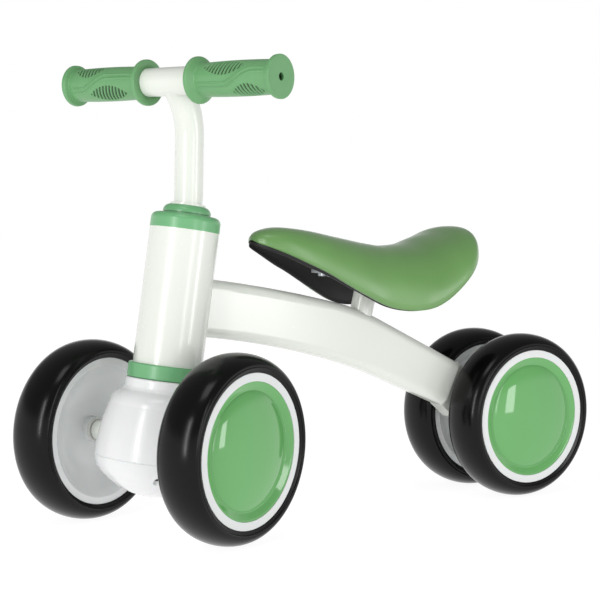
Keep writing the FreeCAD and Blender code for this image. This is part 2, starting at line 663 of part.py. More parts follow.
# ---------------------------------------------------------------- seat post and saddle
post_foot = Vector(-SIZES["post_foot"], 0, SIZES["post_foot_height"])
post_up = Rotation(Vector(0, 1, 0), -SIZES["post_lean"])
post_at = Placement(post_foot, post_up)
post_end = "plate_bottom - post_foot_height + post_rise"
post_tube = rod("post_tube", "post_radius", "0 - post_bury", post_end, post_at)
post_inside = rod("post_inside", "post_radius - post_wall", "0 - post_bury", post_end, post_at)
above_plate = doc.addObject("Part::Box", "above_plate")
bind(above_plate, Length="wheelbase", Width="wheelbase", Height="post_bury")
above_plate.Placement = Placement(
    Vector(-SIZES["wheelbase"] / 2, -SIZES["wheelbase"] / 2, SIZES["plate_bottom"]), Rotation())
keep(minus("seat_post", post_tube, post_inside, above_plate, beam_skin), "seat_post")

# Saddle stations: distance along X, half width, height of the rim and height of the crown.
SADDLE = [
    (90.5, 6.0, 225.2, 231.0),
    (84.2, 15.0, 222.2, 235.4),
    (71.2, 22.5, 216.8, 238.0),
    (38.0, 34.1, 201.3, 235.1),
    (2.0, 41.6, 181.8, 228.3),
    (-34.0, 49.2, 170.1, 223.0),
    (-66.4, 54.9, 176.5, 225.8),
    (-95.1, 55.5, 199.8, 234.4),
    (-112.0, 42.5, 217.0, 239.8),
    (-121.0, 20.0, 227.5, 239.0),
]
ARCH_STEPS = 12
ARCH_SIDE_FULLNESS = 0.8
ARCH_TOP_FULLNESS = 0.75
SHELL_OUTSIDE = (0.90, 0.74)
SHELL_INSIDE = (0.83, 0.64)


def arch(station, width_share, height_share, hang):
    """One cross-section of the saddle: a broad-shouldered arch closed by a level line below it."""
    place, half, rim, crown = station
    half = half * width_share
    rise = (crown - rim) * height_share
    points = []
    for step in range(ARCH_STEPS + 1):
        angle = math.pi * step / ARCH_STEPS
        side = math.copysign(abs(math.cos(angle)) ** ARCH_SIDE_FULLNESS, math.cos(angle))
        points.append(Vector(place, half * side, rim + rise * math.sin(angle) ** ARCH_TOP_FULLNESS))
    curve = Part.BSplineCurve()
    curve.interpolate(points)
    below = [Vector(place, -half, rim - hang), Vector(place, half, rim - hang)] if hang else []
    corners = [points[-1]] + below + [points[0]]
    sides = [Part.LineSegment(a, b).toShape() for a, b in zip(corners, corners[1:])]
    return Part.Wire([curve.toShape()] + sides)


def saddle_layer(shares, hang):
    return Part.makeLoft([arch(station, *shares, hang) for station in SADDLE], True, False)


def saddle_feature(name, shape):
    item = doc.addObject("Part::Feature", name)
    item.Shape = shape
    return keep(item, name)


def screw_cylinders(radius, bottom, height):
    """The same upright cylinder at each of the four saddle screws."""
    spots = [(x, y) for x in (SIZES["plate_front"] - SIZES["screw_inset"],
                              SIZES["screw_inset"] - SIZES["plate_rear"])
             for y in (SIZES["screw_half_pitch"], -SIZES["screw_half_pitch"])]
    return [Part.makeCylinder(SIZES[radius], height, Vector(x, y, bottom)) for x, y in spots]


shell_outside = saddle_layer(SHELL_OUTSIDE, SIZES["shell_hang"])
shell_inside = saddle_layer(SHELL_INSIDE, SIZES["shell_hang"] + SIZES["edge_break"])
saddle_feature("saddle_pad", saddle_layer((1.0, 1.0), 0).cut(shell_outside))
plate_length = SIZES["plate_front"] + SIZES["plate_rear"]
plate_bottom = SIZES["plate_bottom"]
plate_top = plate_bottom + SIZES["plate_thickness"]
shanks = screw_cylinders("screw_radius", plate_bottom, SIZES["plate_thickness"] + SIZES["screw_grip"])
heads = screw_cylinders("screw_head_radius", plate_bottom - SIZES["screw_head_height"],
                        SIZES["screw_head_height"])
shank_group = Part.makeCompound(shanks)
boss_block = Part.makeBox(
    plate_length, 2 * SIZES["saddle_boss_half"], SIZES["axle_height"],
    Vector(-SIZES["plate_rear"], -SIZES["saddle_boss_half"], plate_top))
saddle_shell = shell_outside.cut(shell_inside).fuse(boss_block.common(shell_inside))
saddle_feature("saddle_shell", saddle_shell.cut(shank_group).removeSplitter())
plate_blank = Part.makeBox(
    plate_length, 2 * SIZES["plate_half_width"], SIZES["plate_thickness"],
    Vector(-SIZES["plate_rear"], -SIZES["plate_half_width"], plate_bottom))
saddle_feature("saddle_plate", plate_blank.cut(shank_group))
saddle_feature("saddle_screws", Part.makeCompound(
    [shank.fuse(top).removeSplitter() for shank, top in zip(shanks, heads)]))

# ---------------------------------------------------------------- checks and export
doc.recompute()
failed = [item.Name for item in doc.Objects if "Invalid" in item.State or "Error" in item.State]
if failed:
    raise RuntimeError("these did not recompute: " + ", ".join(failed))
for item in nodes:
    if item.Shape.isNull() or not item.Shape.isValid() or item.Shape.Volume <= 0:
        raise RuntimeError(f"{item.Label} has no valid solid")
os.makedirs("parts", exist_ok=True)
for item in nodes:
    item.Shape.exportStep(f"parts/{item.Label}.step")
    print(f"{item.Label}: {len(item.Shape.Solids)} solids, {item.Shape.Volume / 1000:.2f} cm3")
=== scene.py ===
import json
import math

import bmesh
import bpy
import numpy as np
from mathutils import Matrix, Vector


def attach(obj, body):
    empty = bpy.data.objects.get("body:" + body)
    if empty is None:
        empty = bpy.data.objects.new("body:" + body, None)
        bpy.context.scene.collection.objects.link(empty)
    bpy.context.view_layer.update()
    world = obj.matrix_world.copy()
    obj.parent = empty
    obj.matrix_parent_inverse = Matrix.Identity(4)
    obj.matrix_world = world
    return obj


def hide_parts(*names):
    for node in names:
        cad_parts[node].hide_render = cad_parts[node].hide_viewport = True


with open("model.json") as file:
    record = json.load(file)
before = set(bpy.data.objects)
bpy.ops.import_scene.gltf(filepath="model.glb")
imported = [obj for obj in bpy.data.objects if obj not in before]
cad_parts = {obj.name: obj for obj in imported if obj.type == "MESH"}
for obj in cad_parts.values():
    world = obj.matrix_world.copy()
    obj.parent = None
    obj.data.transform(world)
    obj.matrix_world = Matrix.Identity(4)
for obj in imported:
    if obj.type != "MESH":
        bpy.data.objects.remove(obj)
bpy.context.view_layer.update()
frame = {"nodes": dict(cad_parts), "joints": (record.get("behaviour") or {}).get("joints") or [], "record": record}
nodes = frame["nodes"]
MM = 0.001

# ---------------------------------------------------------------------------------------------
# Welded frame and bars: curved beam, head tube, seat post, rear axle bracket, stem and handlebar.
# Mild steel tube, MIG welded, shot-blasted and powder coated with a warm white polyester that
# flows out to a gloss with a trace of orange peel.
# ---------------------------------------------------------------------------------------------


def linear(colour):
    """A "#rrggbb" sRGB colour as linear RGBA."""
    channels = [int(colour[i:i + 2], 16) / 255 for i in (1, 3, 5)]
    return [c / 12.92 if c <= 0.04045 else ((c + 0.055) / 1.055) ** 2.4 for c in channels] + [1.0]


def node(tree, kind, inputs=None, **settings):
    """Adds a node, sets its settings, and sets or links its inputs by name or number."""
    added = tree.nodes.new(kind)
    for name, setting in settings.items():
        setattr(added, name, setting)
    for name, given in (inputs or {}).items():
        if isinstance(given, bpy.types.NodeSocket):
            tree.links.new(given, added.inputs[name])
        else:
            added.inputs[name].default_value = given
    return added


def finish(name, **uniform):
    """A new material with the numbers and colours that are the same all over set on its shader."""
    made = bpy.data.materials.new(name)
    made.use_nodes = True
    shader = made.node_tree.nodes["Principled BSDF"]
    for socket, setting in uniform.items():
        shader.inputs[socket.replace("_", " ")].default_value = setting
    return made, made.node_tree, shader


def dress(names, material):
    """Gives frame nodes a material."""
    for name in names:
        slots = nodes[name].data.materials
        slots.clear()
        slots.append(material)


def powder_coat():
    """Gloss polyester powder coat: the eye sees warm white, soft streaks of light, 3 mm peel."""
    made, tree, shader = finish("powder_coated_steel_white", IOR=1.5, Coat_Weight=0.6,
                                Coat_Roughness=0.14)
    place = node(tree, "ShaderNodeTexCoord").outputs["Object"]
    cloud = node(tree, "ShaderNodeTexNoise", {
        "Vector": place, "Scale": 1 / (60 * MM), "Detail": 0.0}).outputs["Fac"]
    tint = node(tree, "ShaderNodeMix", {
        0: cloud, 6: linear("#dee2da"), 7: linear("#e4e7df")}, data_type="RGBA").outputs[2]
    peel = node(tree, "ShaderNodeTexNoise", {
        "Vector": place, "Scale": 1 / (3 * MM), "Detail": 2.0}).outputs["Fac"]
    gloss = node(tree, "ShaderNodeMapRange", {
        "Value": peel, "To Min": 0.26, "To Max": 0.28}).outputs["Result"]
    relief = node(tree, "ShaderNodeBump", {
        "Height": peel, "Strength": 0.05, "Distance": 0.01 * MM}).outputs["Normal"]
    tree.links.new(tint, shader.inputs["Base Color"])
    tree.links.new(gloss, shader.inputs["Roughness"])
    tree.links.new(relief, shader.inputs["Normal"])
    return made


dress(["frame_beam", "head_tube", "rear_axle_bracket", "seat_post", "stem_stop_ring", "stem_tube",
       "handlebar_tube", "fork_crown"], powder_coat())

# ---------------------------------------------------------------------------------------------
# Head bearings: the green ring under the head tube, the round-shouldered cap on top of it and the
# small collar on the stem, all injection-moulded ABS. They are pressed on over turned nylon bushes.
# ---------------------------------------------------------------------------------------------


def moulded_plastic(name, dark, light, roughness, depth_mm=0.008):
    """An injection-moulded skin: even colour, a faint flow cloud and fine spark-eroded grain."""
    made, tree, shader = finish(name, IOR=1.53)
    place = node(tree, "ShaderNodeTexCoord").outputs["Object"]
    flow = node(tree, "ShaderNodeTexNoise", {
        "Vector": place, "Scale": 1 / (40 * MM), "Detail": 1.0}).outputs["Fac"]
    tint = node(tree, "ShaderNodeMix", {
        0: flow, 6: linear(dark), 7: linear(light)}, data_type="RGBA").outputs[2]
    grain = node(tree, "ShaderNodeTexNoise", {
        "Vector": place, "Scale": 1 / (0.9 * MM), "Detail": 3.0}).outputs["Fac"]
    gloss = node(tree, "ShaderNodeMapRange", {
        "Value": grain, "To Min": roughness * 0.85, "To Max": roughness * 1.15}).outputs["Result"]
    relief = node(tree, "ShaderNodeBump", {
        "Height": grain, "Strength": 0.2, "Distance": depth_mm * MM}).outputs["Normal"]
    tree.links.new(tint, shader.inputs["Base Color"])
    tree.links.new(gloss, shader.inputs["Roughness"])
    tree.links.new(relief, shader.inputs["Normal"])
    return made


dress(["lower_head_ring", "upper_head_cap", "stem_collar"],
      moulded_plastic("satin_abs_leaf_green", "#67a873", "#6fae7a", 0.3))
dress([name for name in nodes if name.endswith("_bush")],
      moulded_plastic("turned_nylon_natural", "#d6d6d0", "#e0e0da", 0.4))

# ---------------------------------------------------------------------------------------------
# Fork housing: two thick white polypropylene shells that meet at a fine parting line round the
# bulb, screwed together from below over the steel crown. Cooler and glossier than the paint.
# ---------------------------------------------------------------------------------------------


def gloss_polypropylene(name, dark, light):
    """Glossy moulded polypropylene: cool white, milky, with broad soft sink marks 14 mm across."""
    made, tree, shader = finish(name, IOR=1.49, Subsurface_Weight=0.05, Subsurface_Scale=0.003)
    place = node(tree, "ShaderNodeTexCoord").outputs["Object"]
    flow = node(tree, "ShaderNodeTexNoise", {
        "Vector": place, "Scale": 1 / (30 * MM), "Detail": 2.0}).outputs["Fac"]
    tint = node(tree, "ShaderNodeMix", {
        0: flow, 6: linear(dark), 7: linear(light)}, data_type="RGBA").outputs[2]
    sink = node(tree, "ShaderNodeTexNoise", {
        "Vector": place, "Scale": 1 / (14 * MM), "Detail": 1.0}).outputs["Fac"]
    gloss = node(tree, "ShaderNodeMapRange", {
        "Value": sink, "To Min": 0.14, "To Max": 0.22}).outputs["Result"]
    relief = node(tree, "ShaderNodeBump", {
        "Height": sink, "Strength": 0.25, "Distance": 0.05 * MM}).outputs["Normal"]
    tree.links.new(tint, shader.inputs["Base Color"])
    tree.links.new(gloss, shader.inputs["Roughness"])
    tree.links.new(relief, shader.inputs["Normal"])
    return made


dress(["fork_housing_upper", "fork_housing_lower"],
      gloss_polypropylene("gloss_polypropylene_white", "#e3e4e4", "#e9eaea"))

# ---------------------------------------------------------------------------------------------
# Fasteners: axles, nuts, washers, screws, the stem bolt and the saddle's plate. Steel, zinc
# plated and passivated, so dull silver with a slight blue-grey bloom.
# ---------------------------------------------------------------------------------------------


def zinc_plate():
    """Zinc-plated steel: dull silver metal, its passivation in clouds 4 mm across."""
    made, tree, shader = finish("zinc_plated_steel", Metallic=1.0)
    place = node(tree, "ShaderNodeTexCoord").outputs["Object"]
    bloom = node(tree, "ShaderNodeTexNoise", {
        "Vector": place, "Scale": 1 / (4 * MM), "Detail": 4.0}).outputs["Fac"]
    tint = node(tree, "ShaderNodeMix", {
        0: bloom, 6: linear("#9fa3a6"), 7: linear("#c2c6c8")}, data_type="RGBA").outputs[2]
    gloss = node(tree, "ShaderNodeMapRange", {
        "Value": bloom, "To Min": 0.28, "To Max": 0.45}).outputs["Result"]
    relief = node(tree, "ShaderNodeBump", {
        "Height": bloom, "Strength": 0.3, "Distance": 0.01 * MM}).outputs["Normal"]
    tree.links.new(tint, shader.inputs["Base Color"])
    tree.links.new(gloss, shader.inputs["Roughness"])
    tree.links.new(relief, shader.inputs["Normal"])
    return made


dress([name for name in nodes if name.endswith(("_axle", "_washers", "_nuts", "_screws"))
       or name in ("stem_bolt", "stem_nut", "saddle_plate")], zinc_plate())

# ---------------------------------------------------------------------------------------------
# Wheels: a soft black EVA foam ring stretched on a white polypropylene rim, with a polished green
# dome snapped into the outer face. The foam is skinned in its mould, so it is smooth and waxy,
# with the mould's parting ridge standing beside the rim.
# ---------------------------------------------------------------------------------------------
# Steps round a wheel, round the tyre's crown and round each eased corner.
WHEEL_STEPS = 180
CROWN_STEPS = 28
CORNER_STEPS = 5
# The foam ring in mm: half width, radius where the crown starts, radius at its top.
TYRE_HALF_WIDTH = 19.4
TYRE_SHOULDER = 63.3
TYRE_CROWN = 72.5
# Corners as (along the axle, radius, rounding) in mm: the outer bead with its parting ridge, and
# the bore over the rim, whose seats lie 58.9 mm and whose floor lies 54 mm from the axle.
TYRE_BEAD = [(17.55, 58.9, 0.6), (18.0, 60.4, 0.8), (18.5, 61.9, 0.3), (19.5, 62.2, 0.12),
             (19.55, 62.8, 0.12), (19.0, TYRE_SHOULDER, 0.2)]
TYRE_BORE = [(-16.6, 58.9, 0), (-13.7, 58.9, 0), (-13.7, 54.0, 0), (14.6, 54.0, 0),
             (14.6, 58.9, 0)]
# The cap along the axle in mm: top of the dome, groove round it, flange, seat in the rim, skirt.
CAP_CROWN = 22.5
CAP_VALLEY = 14.6
CAP_FACE = 17.1
SEAT_FLOOR = 12.6
SKIRT_END = 7.0
CAP_WALL = 2.2
# Its radii in mm: dome, groove's outer side, flange's ease and edge, skirt outside and inside.
DOME_RADIUS = 45.2
GROOVE_RADIUS = 46.1
EASE_RADIUS = 51.2
FLANGE_RADIUS = 52.5
SKIRT_OUTSIDE = 50.5
SKIRT_INSIDE = 48.7
# The dome's steps, how square its top is, how steep its foot, and the taper of its inside.
DOME_STEPS = 40
DOME_SQUARENESS = 2.2
DOME_FOOT = 0.72
DOME_TAPER = 0.97


def eased(corners):
    """A closed outline of (along, radius, rounding) corners in mm, each eased by a short curve."""
    points = []
    for index, (along, radius, rounding) in enumerate(corners):
        corner = Vector((along, radius))
        if rounding == 0:
            points.append(corner)
            continue
        before = Vector(corners[index - 1][:2]) - corner
        after = Vector(corners[(index + 1) % len(corners)][:2]) - corner
        reach = min(rounding, before.length * 0.49, after.length * 0.49)
        first = corner + before.normalized() * reach
        last = corner + after.normalized() * reach
        for step in range(CORNER_STEPS + 1):
            t = step / CORNER_STEPS
            points.append(first * (1 - t) ** 2 + corner * 2 * t * (1 - t) + last * t ** 2)
    return points


def smooth_object(name, mesh, material):
    """A smooth-shaded object of a mesh, in the scene."""
    mesh.polygons.foreach_set("use_smooth", [True] * len(mesh.polygons))
    mesh.materials.append(material)
    made = bpy.data.objects.new(name, mesh)
    bpy.context.scene.collection.objects.link(made)
    return made


def turned(name, outline, place, material, steps, relief=None):
    """A closed ring turned about the X axis of place from an outline of (along, radius) in mm.

    relief(along, radius, angles) is added to the radius in mm, and kept as the attribute "cut".
    """
    rows = len(outline)
    angles = np.arange(steps) * 2 * math.pi / steps
    rings = []
    cuts = []
    for along, radius in outline:
        cut = np.zeros(steps) if relief is None else relief(along, radius, angles)
        cuts.append(cut)
        rings.append(np.stack([np.full(steps, along), np.cos(angles) * (radius + cut),
                               np.sin(angles) * (radius + cut)], axis=1))
    points = np.concatenate(rings) * MM @ np.array(place.to_3x3()).T
    points = points + np.array(place.to_translation())
    faces = []
    for row in range(rows):
        here = row * steps
        there = (row + 1) % rows * steps
        for column in range(steps):
            beside = (column + 1) % steps
            faces.append((here + column, here + beside, there + beside, there + column))
    mesh = bpy.data.meshes.new(name)
    mesh.from_pydata(points.tolist(), [], faces)
    mesh.attributes.new("cut", "FLOAT", "POINT").data.foreach_set("value", np.concatenate(cuts))
    shape = bmesh.new()
    shape.from_mesh(mesh)
    bmesh.ops.remove_doubles(shape, verts=shape.verts, dist=0.001 * MM)
    bmesh.ops.recalc_face_normals(shape, faces=shape.faces)
    shape.to_mesh(mesh)
    shape.free()
    return smooth_object(name, mesh, material)


def facing(centre, outward):
    """A place with X outward along an axle or bar, and Z as near upright as it can be."""
    x_axis = Vector(outward).normalized()
    y_axis = Vector((0, 0, 1)).cross(x_axis).normalized()
    z_axis = x_axis.cross(y_axis)
    turn = Matrix((x_axis, y_axis, z_axis)).transposed().to_4x4()
    return Matrix.Translation(Vector(centre)) @ turn


def tyre_outline():
    """Bore, rim seats, parting ridges and the full round crown of the foam ring."""
    crown = []
    for step in range(1, CROWN_STEPS):
        angle = math.pi * step / CROWN_STEPS
        crown.append((TYRE_HALF_WIDTH * math.cos(angle),
                      TYRE_SHOULDER + (TYRE_CROWN - TYRE_SHOULDER) * math.sin(angle), 0))
    far_bead = [(-along, radius, ease) for along, radius, ease in reversed(TYRE_BEAD)]
    return eased(TYRE_BEAD + crown + far_bead + TYRE_BORE)


def cap_outline():
    """Dome with a steep foot, the groove round it, and the flange and skirt that snap in."""
    dome = []
    for step in range(DOME_STEPS + 1):
        share = math.sin(math.pi / 2 * step / DOME_STEPS)
        rise = (1 - share ** DOME_SQUARENESS) ** DOME_FOOT
        dome.append((CAP_VALLEY + (CAP_CROWN - CAP_VALLEY) * rise, DOME_RADIUS * share, 0))
    underside = [(along - CAP_WALL, radius * DOME_TAPER, 0)
                 for along, radius, _ in reversed(dome)]
    flange = [(CAP_VALLEY, GROOVE_RADIUS, 0.3), (CAP_FACE - 0.1, EASE_RADIUS, 0.9),
              (CAP_FACE, FLANGE_RADIUS, 0.3), (SEAT_FLOOR, FLANGE_RADIUS, 0),
              (SEAT_FLOOR, SKIRT_OUTSIDE, 0), (SKIRT_END, SKIRT_OUTSIDE, 0.3),
              (SKIRT_END, SKIRT_INSIDE, 0.3), (CAP_VALLEY - CAP_WALL, SKIRT_INSIDE, 0.5)]
    return eased(dome + flange + underside)


def eva_foam():
    """Moulded EVA foam skin: near black and waxy, a broad soft highlight, pores 0.7 mm apart."""
    made, tree, shader = finish("moulded_eva_foam_black", IOR=1.48, Specular_IOR_Level=0.22)
    place = node(tree, "ShaderNodeTexCoord").outputs["Object"]
    cloud = node(tree, "ShaderNodeTexNoise", {
        "Vector": place, "Scale": 1 / (18 * MM), "Detail": 3.0}).outputs["Fac"]
    tint = node(tree, "ShaderNodeMix", {
        0: cloud, 6: linear("#050505"), 7: linear("#0a0a0a")}, data_type="RGBA").outputs[2]
    pores = node(tree, "ShaderNodeTexNoise", {
        "Vector": place, "Scale": 1 / (0.7 * MM), "Detail": 4.0,
        "Roughness": 0.6}).outputs["Fac"]
    gloss = node(tree, "ShaderNodeMapRange", {
        "Value": pores, "To Min": 0.17, "To Max": 0.23}).outputs["Result"]
    relief = node(tree, "ShaderNodeBump", {
        "Height": pores, "Strength": 0.25, "Distance": 0.02 * MM}).outputs["Normal"]
    tree.links.new(tint, shader.inputs["Base Color"])
    tree.links.new(gloss, shader.inputs["Roughness"])
    tree.links.new(relief, shader.inputs["Normal"])
    return made


foam = eva_foam()
rim_plastic = gloss_polypropylene("gloss_polypropylene_rim_white", "#dcdede", "#e4e6e6")
dress([name for name in nodes if name.endswith("wheel_rim")], rim_plastic)
polished_green = moulded_plastic("polished_abs_leaf_green", "#66a862", "#69ab65", 0.06, 0.002)
for joint in frame["joints"]:
    if joint["name"].endswith("_wheel_spin"):
        wheel = joint["child"]
        outward = Vector(joint["axis"]) * (1 if "left" in wheel else -1)
        hub = facing(joint["pos_m"], outward)
        tyre = turned(f"{wheel}_foam_ring", tyre_outline(), hub, foam, WHEEL_STEPS)
        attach(tyre, wheel)
        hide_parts(f"{wheel}_tyre")
        cap = turned(f"{wheel}_domed_cap", cap_outline(), hub, polished_green, WHEEL_STEPS)
        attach(cap, wheel)
        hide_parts(f"{wheel}_cap")

# ---------------------------------------------------------------------------------------------
# Grips: one moulding of soft thermoplastic rubber used on both ends of the bar, with a wide inner
# guard, a barrelled body with two ribbed leaves and a double wave on each half, and a closed end
# disc with a breather hole. The second grip is the first turned round.
# ---------------------------------------------------------------------------------------------
# Steps round the grip and rows along its body.
GRIP_STEPS = 240
GRIP_ROWS = 230
# Places along the bar from its middle, in mm: the grip's ends and its body's ends.
GRIP_START = 24.4
GRIP_END = 102.9
BODY_START = 32.6
BODY_END = 97.7
# Radii in mm: the bore on the bar, the body and its belly, guard, guard's foot, end disc and hole.
BAR_RADIUS = 11.05
BODY_RADIUS = 12.6
BODY_BELLY = 0.75
GUARD_RADIUS = 17.75
GUARD_FOOT = 14.2
DISC_RADIUS = 16.25
HOLE_RADIUS = 2.7
# The moulded relief covers this share of the length and fades in and out over the next number.
RELIEF_START = 0.09
RELIEF_END = 0.92
RELIEF_FADE = 0.08
RELIEF_LOWEST = 12.3
RELIEF_HIGHEST = 14.5
RIB_PITCH = 3.3
RIB_DEPTH = 1.45
# Each wave's height in mm, and its spread, its distance from the middle and its swing in degrees,
# then the shares of the length where it starts to cross over and that it takes.
WAVE_RISE = 0.9
WAVE_SPREAD = 2.2
WAVE_GAP = 7
WAVE_SWING = 22
WAVE_CROSSES = 0.42
WAVE_CROSSING = 0.36
# Each leaf: first and last share of the length, middle and half width in degrees, and its ribs'
# slant in mm for each degree.
LEAVES = [(0.18, 0.66, 41, 33, 0.055), (0.52, 0.88, -56, 34, -0.05)]


def leaf(share, offset, first, last, half):
    """How deep inside a leaf-shaped patch a point is: 0 outside, up to 1 within."""
    if not first < share < last:
        return np.zeros_like(offset)
    width = half * math.sin(math.pi * (share - first) / (last - first)) ** 0.7
    return np.clip((width - np.abs(offset)) / 3.0, 0, 1)


def wave_angle(share):
    """The double wave's place round the grip, in degrees, at a share of the grip's length."""
    t = min(1.0, max(0.0, (share - WAVE_CROSSES) / WAVE_CROSSING))
    return -WAVE_SWING + 2 * WAVE_SWING * t * t * (3 - 2 * t)


def grip_relief(along, radius, angles):
    """Ribbed leaves cut in, and the double wave raised, on both halves of the grip's round."""
    share = (along - GRIP_START) / (GRIP_END - GRIP_START)
    relief = np.zeros_like(angles)
    if not (RELIEF_LOWEST <= radius <= RELIEF_HIGHEST and RELIEF_START <= share <= RELIEF_END):
        return relief
    for turn in (0, 180):
        local = (-np.degrees(angles) - turn + 180) % 360 - 180
        for first, last, middle, half, slant in LEAVES:
            offset = local - middle
            inside = leaf(share, offset, first, last, half)
            rib = np.cos(2 * math.pi * (along - slant * offset) / RIB_PITCH)
            relief -= inside * np.clip(rib * 3.0 + 0.9, 0, 1) * RIB_DEPTH
        fade = max(0.0, min(1.0, (share - RELIEF_START) / RELIEF_FADE,
                            (RELIEF_END - share) / RELIEF_FADE))
        for ridge in (-WAVE_GAP, WAVE_GAP):
            away = local - wave_angle(share) - ridge
            relief += fade * WAVE_RISE * np.exp(-(away / WAVE_SPREAD) ** 2)
    return relief


def grip_outline():
    """Closed outline of the grip from its bore, over guard, body and end disc, to the hole."""
    body = []
    for row in range(GRIP_ROWS + 1):
        share = row / GRIP_ROWS
        along = BODY_START + share * (BODY_END - BODY_START)
        body.append((along, BODY_RADIUS + BODY_BELLY * math.sin(math.pi * share) ** 0.8, 0))
    guard = [(GRIP_START, BAR_RADIUS, 0), (GRIP_START, GUARD_RADIUS, 0.9),
             (GRIP_START + 3.2, GUARD_RADIUS, 0.9), (GRIP_START + 5.4, GUARD_FOOT, 1.0),
             (GRIP_START + 6.4, BODY_RADIUS, 1.2)]
    disc = [(GRIP_END - 4.3, BODY_RADIUS, 1.2), (GRIP_END - 3.2, DISC_RADIUS - 0.25, 0.8),
            (GRIP_END - 0.2, DISC_RADIUS, 0.6), (GRIP_END, DISC_RADIUS - 0.85, 0.5),
            (GRIP_END, HOLE_RADIUS + 0.2, 0.3), (GRIP_END - 3.6, HOLE_RADIUS, 0),
            (GRIP_END - 3.6, BAR_RADIUS, 0)]
    return eased(guard + body + disc)


def soft_rubber():
    """Thermoplastic rubber: mid green and satin from handling, with painted shade darkening it down between its
    ribs.
    """
    made, tree, shader = finish("moulded_soft_rubber_green", IOR=1.5, Coat_Weight=0.15,
                                Coat_Roughness=0.3)
    place = node(tree, "ShaderNodeTexCoord").outputs["Object"]
    cloud = node(tree, "ShaderNodeTexNoise", {
        "Vector": place, "Scale": 1 / (12 * MM), "Detail": 2.0}).outputs["Fac"]
    tint = node(tree, "ShaderNodeMix", {
        0: cloud, 6: linear("#619963"), 7: linear("#6aa26b")}, data_type="RGBA").outputs[2]
    depth = node(tree, "ShaderNodeAttribute", attribute_name="cut").outputs["Fac"]
    # Painted shade: the colour darkens towards #1f3420 where the ribs are cut deepest, standing in for the shade
    # down between them.
    shade = node(tree, "ShaderNodeMapRange", {
        "Value": depth, "From Min": -RIB_DEPTH, "From Max": -0.3, "To Min": 1.0,
        "To Max": 0.0}).outputs["Result"]
    painted_gap_shade = node(tree, "ShaderNodeMix", {
        0: shade, 6: tint, 7: linear("#1f3420")}, data_type="RGBA").outputs[2]
    skin = node(tree, "ShaderNodeTexNoise", {
        "Vector": place, "Scale": 1 / (0.6 * MM), "Detail": 3.0}).outputs["Fac"]
    gloss = node(tree, "ShaderNodeMapRange", {
        "Value": skin, "To Min": 0.36, "To Max": 0.48}).outputs["Result"]
    relief = node(tree, "ShaderNodeBump", {
        "Height": skin, "Strength": 0.3, "Distance": 0.02 * MM}).outputs["Normal"]
    tree.links.new(painted_gap_shade, shader.inputs["Base Color"])
    tree.links.new(gloss, shader.inputs["Roughness"])
    tree.links.new(relief, shader.inputs["Normal"])
    return made


rubber = soft_rubber()
bar = [m for m in frame["record"]["mounts"] if m["name"] == "handlebar_clamp_zone"][0]
for side, outward in (("left", Vector(bar["axis"])), ("right", -Vector(bar["axis"]))):
    grip = turned(f"grip_{side}_moulded", grip_outline(), facing(bar["pos_m"], outward), rubber,
                  GRIP_STEPS, grip_relief)
    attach(grip, "steering")
    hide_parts(f"grip_{side}")

# ---------------------------------------------------------------------------------------------
# Saddle: a black moulded shell with foam and a stretched cover of pearly green leathercloth,
# heat-formed over it and wrapped round its edge. The nose and the tail rise, and deep skirts drop
# beside the post.
# ---------------------------------------------------------------------------------------------
SADDLE_STATIONS = [
    # along X, half width, rim height, crown height, shoulder fullness (mm)
    (92.6, 0.5, 227.1, 227.8, 0.82),
    (92.1, 2.8, 226.8, 228.0, 0.82),
    (89.8, 8.5, 224.6, 232.2, 0.82),
    (84.2, 15.0, 222.2, 235.4, 0.82),
    (71.2, 22.5, 216.8, 238.0, 0.83),
    (55.0, 29.1, 209.3, 237.3, 0.86),
    (38.0, 34.1, 201.3, 235.1, 0.88),
    (20.0, 38.0, 191.3, 231.7, 0.90),
    (2.0, 41.6, 181.8, 228.3, 0.92),
    (-16.0, 44.4, 173.7, 225.1, 0.93),
    (-34.0, 49.2, 170.1, 223.0, 0.93),
    (-51.6, 53.5, 171.2, 223.6, 0.94),
    (-66.4, 54.9, 176.5, 225.8, 0.96),
    (-81.2, 55.8, 186.7, 230.4, 0.99),
    (-95.1, 55.5, 199.8, 234.4, 1.01),
    (-106.6, 49.2, 211.4, 238.8, 0.96),
    (-115.6, 37.3, 220.8, 240.2, 0.90),
    (-120.9, 20.4, 227.4, 239.1, 0.86),
    (-122.2, 4.6, 229.9, 237.1, 0.85),
    (-122.6, 0.5, 232.6, 234.6, 0.85),
]
# Steps along the cover, and points across each of its arches.
COVER_LENGTHS = 96
COVER_ACROSS = 49
# How square each arch's crown is. A section is narrow up to this half width in mm.
ARCH_SQUARENESS = 0.8
NARROW = 9
# Each arch's share of the saddle's width and of its rise.
COVER_OUTSIDE = (1.0, 1.0)
SHELL_OUTSIDE = (0.90, 0.74)
SHELL_INSIDE = (0.84, 0.66)
# The cover starts this far inside its taut shape, and is blown out by no more than the limit (mm).
SLACK = 0.6
SWELL_LIMIT = 1.4
CLOTH_PRESSURE = 4.0
CLOTH_FRAMES = 20
# The shell's lip in mm at the tail and at the nose, where it starts to grow, and over what length.
LIP_AT_TAIL = 0.6
LIP_AT_NOSE = 2.5
LIP_STARTS = 10
LIP_GROWS = 40


def saddle_section(station, width_share, rise_share, slack):
    """Points of one arch across the saddle, from the left rim over the crown to the right rim."""
    along, half, rim, crown, fullness = station
    points = []
    for step in range(COVER_ACROSS):
        angle = math.pi * step / (COVER_ACROSS - 1)
        rise = math.sin(angle) ** ARCH_SQUARENESS
        side = math.copysign(abs(math.cos(angle)) ** fullness, math.cos(angle))
        points.append(Vector((along, (half * width_share - slack * (half > NARROW)) * side,
                              rim + (crown - rim) * rise_share * rise - slack * rise)))
    return points


